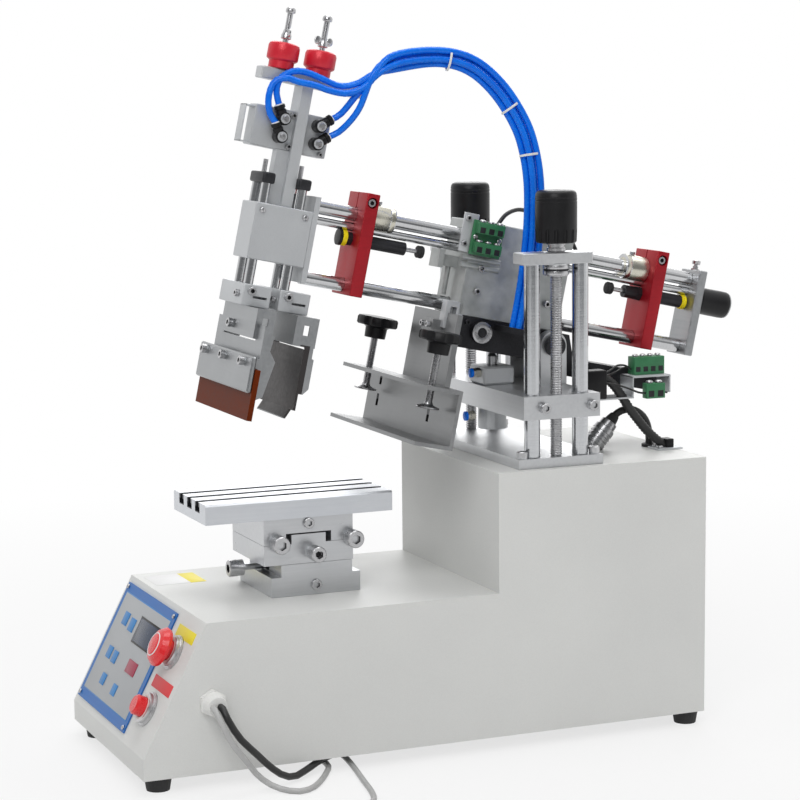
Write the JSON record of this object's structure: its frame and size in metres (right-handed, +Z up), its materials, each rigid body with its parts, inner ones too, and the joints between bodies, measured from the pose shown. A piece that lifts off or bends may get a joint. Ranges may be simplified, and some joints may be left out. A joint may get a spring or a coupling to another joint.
{
  "type": "screen printing press",
  "caption": "Tabletop pneumatic screen printing press: cabinet, two-axis slotted stage, column lift, tilting head, sliding squeegee and flood bar.",
  "frame": {"origin": "on the floor under the middle of the machine's box, cords and cord gland left out", "axes": "+Z up, -Y towards the sloped control panel at the front, +X towards the side wall with the cord gland"},
  "size_m": [0.7296, 0.7132, 0.7591],
  "materials": {
    "white_paint": "fine textured off-white powder coat",
    "black_rubber": "matt",
    "black_plastic": "satin moulded",
    "black_metal": "black oxide, satin",
    "panel_blue": "printed membrane",
    "button_red": "gloss moulded",
    "gland_white": "moulded nylon",
    "cord_black": "satin sheath",
    "cable_grey": "satin sheath",
    "bright_steel": "ground and hard chromed",
    "dull_steel": "brushed",
    "aluminium": "milled and clear anodised",
    "red_anodised": "red anodised",
    "blade_brown": "translucent polyurethane",
    "hose_blue": "polyurethane air hose"
  },
  "bodies": {
    "base": {"cabinet": "white_paint", "foot_front_near": "black_rubber", "foot_front_far": "black_rubber", "foot_rear_near": "black_rubber", "foot_rear_far": "black_rubber", "control_panel": "panel_blue", "cord_gland": "gland_white", "mains_cord": "cord_black", "mains_coil": "cord_black", "mains_plug": "cord_black", "signal_cable": "cable_grey", "signal_coil": "cable_grey", "signal_connector": "dull_steel", "base_plate": "aluminium", "column_near_front": "bright_steel", "column_near_rear": "bright_steel", "column_far_front": "bright_steel", "column_far_rear": "bright_steel", "top_bar_near": "aluminium", "top_bar_far": "aluminium", "stage_base": "aluminium"},
    "estop": {"estop_button": "button_red"},
    "start": {"start_button": "button_red"},
    "height_near": {"height_screw_near": "black_plastic"},
    "height_far": {"height_screw_far": "black_plastic"},
    "lift": {"lift_block": "aluminium", "tilt_cylinder": "aluminium"},
    "tilt_piston": {"tilt_rod": "bright_steel"},
    "head": {"tilt_beam": "black_metal", "head_block": "aluminium", "frame_channel": "aluminium", "hose_bundle": "hose_blue"},
    "stroke": {"upper_tube": "bright_steel", "piston_rod": "bright_steel", "lower_rod": "bright_steel", "front_stop_block": "red_anodised", "rear_stop_block": "red_anodised", "front_damper": "black_metal", "rear_damper": "black_metal", "end_plate": "dull_steel", "carriage_block": "aluminium", "actuator_body": "aluminium"},
    "plunger_front": {"front_plunger": "black_rubber"},
    "plunger_rear": {"rear_plunger": "black_rubber"},
    "knob_front": {"stroke_knob_front": "red_anodised"},
    "knob_rear": {"stroke_knob_rear": "red_anodised"},
    "squeegee": {"squeegee_guide": "bright_steel", "squeegee_holder": "dull_steel", "squeegee_blade": "blade_brown"},
    "flood": {"flood_guide": "bright_steel", "flood_holder": "dull_steel"},
    "spindle_near": {"clamp_spindle_near": "bright_steel"},
    "spindle_far": {"clamp_spindle_far": "bright_steel"},
    "clamp_near": {"clamp_knob_near": "black_plastic"},
    "clamp_far": {"clamp_knob_far": "black_plastic"},
    "cross": {"cross_slide": "aluminium"},
    "top": {"top_slide": "aluminium", "slotted_table": "aluminium"},
    "feed_front": {"feed_screw_front": "bright_steel"},
    "feed_side": {"feed_screw_side": "bright_steel"}
  },
  "joints": [
    {"name": "estop_press", "type": "slide", "parent": "base", "child": "estop", "axis": [0, 0.8888, -0.4583], "range_m": [0, 0.004], "stiffness_N_per_m": 900, "springref_m": -0.002},
    {"name": "start_press", "type": "slide", "parent": "base", "child": "start", "axis": [0, 0.8888, -0.4583], "range_m": [0, 0.003], "stiffness_N_per_m": 700, "springref_m": -0.002},
    {"name": "lift_slide", "type": "slide", "parent": "base", "child": "lift", "axis": [0, 0, 1], "range_m": [-0.014, 0.09]},
    {"name": "height_near_turn", "type": "hinge", "parent": "base", "child": "height_near", "pos_m": [0.104, 0.09523, 0.5], "axis": [0, 0, 1], "continuous": true},
    {"name": "height_far_turn", "type": "hinge", "parent": "base", "child": "height_far", "pos_m": [-0.104, 0.09523, 0.5], "axis": [0, 0, 1], "continuous": true},
    {"name": "tilt", "type": "hinge", "parent": "lift", "child": "head", "pos_m": [0, 0.12303, 0.4026], "axis": [1, 0, 0], "range_deg": [0, 12]},
    {"name": "tilt_piston_slide", "type": "slide", "parent": "lift", "child": "tilt_piston", "axis": [0, 0, 1], "range_m": [-0.0112, 0.001]},
    {"name": "stroke_slide", "type": "slide", "parent": "head", "child": "stroke", "axis": [0, 0.9781, -0.2079], "range_m": [-0.0537, 0.005], "deforming": ["hose_bundle"]},
    {"name": "front_plunger_slide", "type": "slide", "parent": "stroke", "child": "plunger_front", "axis": [0, 0.9781, -0.2079], "range_m": [-0.01, 0], "stiffness_N_per_m": 200, "springref_m": 0.004},
    {"name": "rear_plunger_slide", "type": "slide", "parent": "stroke", "child": "plunger_rear", "axis": [0, 0.9781, -0.2079], "range_m": [0, 0.01], "stiffness_N_per_m": 200, "springref_m": -0.004},
    {"name": "knob_front_turn", "type": "hinge", "parent": "stroke", "child": "knob_front", "pos_m": [0, -0.1604, 0.69103], "axis": [0, 0.2079, 0.9781], "continuous": true},
    {"name": "knob_rear_turn", "type": "hinge", "parent": "stroke", "child": "knob_rear", "pos_m": [0, -0.12127, 0.68271], "axis": [0, 0.2079, 0.9781], "continuous": true},
    {"name": "squeegee_lift", "type": "slide", "parent": "stroke", "child": "squeegee", "axis": [0, 0.2079, 0.9781], "range_m": [-0.019, 0]},
    {"name": "flood_lift", "type": "slide", "parent": "stroke", "child": "flood", "axis": [0, 0.2079, 0.9781], "range_m": [-0.019, 0]},
    {"name": "clamp_near_slide", "type": "slide", "parent": "head", "child": "spindle_near", "axis": [0, 0.2079, 0.9781], "range_m": [-0.028, 0.012]},
    {"name": "clamp_far_slide", "type": "slide", "parent": "head", "child": "spindle_far", "axis": [0, 0.2079, 0.9781], "range_m": [-0.028, 0.012]},
    {"name": "clamp_near_turn", "type": "hinge", "parent": "spindle_near", "child": "clamp_near", "pos_m": [0.083, -0.02486, 0.4187], "axis": [0, 0.2079, 0.9781], "continuous": true},
    {"name": "clamp_far_turn", "type": "hinge", "parent": "spindle_far", "child": "clamp_far", "pos_m": [-0.083, -0.02486, 0.4187], "axis": [0, 0.2079, 0.9781], "continuous": true},
    {"name": "cross_slide_y", "type": "slide", "parent": "base", "child": "cross", "axis": [0, 1, 0], "range_m": [-0.0025, 0.02]},
    {"name": "top_slide_x", "type": "slide", "parent": "cross", "child": "top", "axis": [1, 0, 0], "range_m": [0, 0.012]},
    {"name": "feed_front_turn", "type": "hinge", "parent": "base", "child": "feed_front", "pos_m": [0, -0.20797, 0.1883], "axis": [0, 1, 0], "continuous": true},
    {"name": "feed_side_turn", "type": "hinge", "parent": "cross", "child": "feed_side", "pos_m": [0.06, -0.15247, 0.2088], "axis": [1, 0, 0], "continuous": true}
  ],
  "couplings": [
    {"joint": "height_near_turn", "follows": "lift_slide", "rad_per_m": 2094.4},
    {"joint": "height_far_turn", "follows": "lift_slide", "rad_per_m": 2094.4},
    {"joint": "tilt_piston_slide", "follows": "tilt", "m_per_rad": -0.0497},
    {"joint": "clamp_near_turn", "follows": "clamp_near_slide", "rad_per_m": 5026.5},
    {"joint": "clamp_far_turn", "follows": "clamp_far_slide", "rad_per_m": 5026.5},
    {"joint": "feed_front_turn", "follows": "cross_slide_y", "rad_per_m": 3141.6},
    {"joint": "feed_side_turn", "follows": "top_slide_x", "rad_per_m": 3141.6}
  ]
}
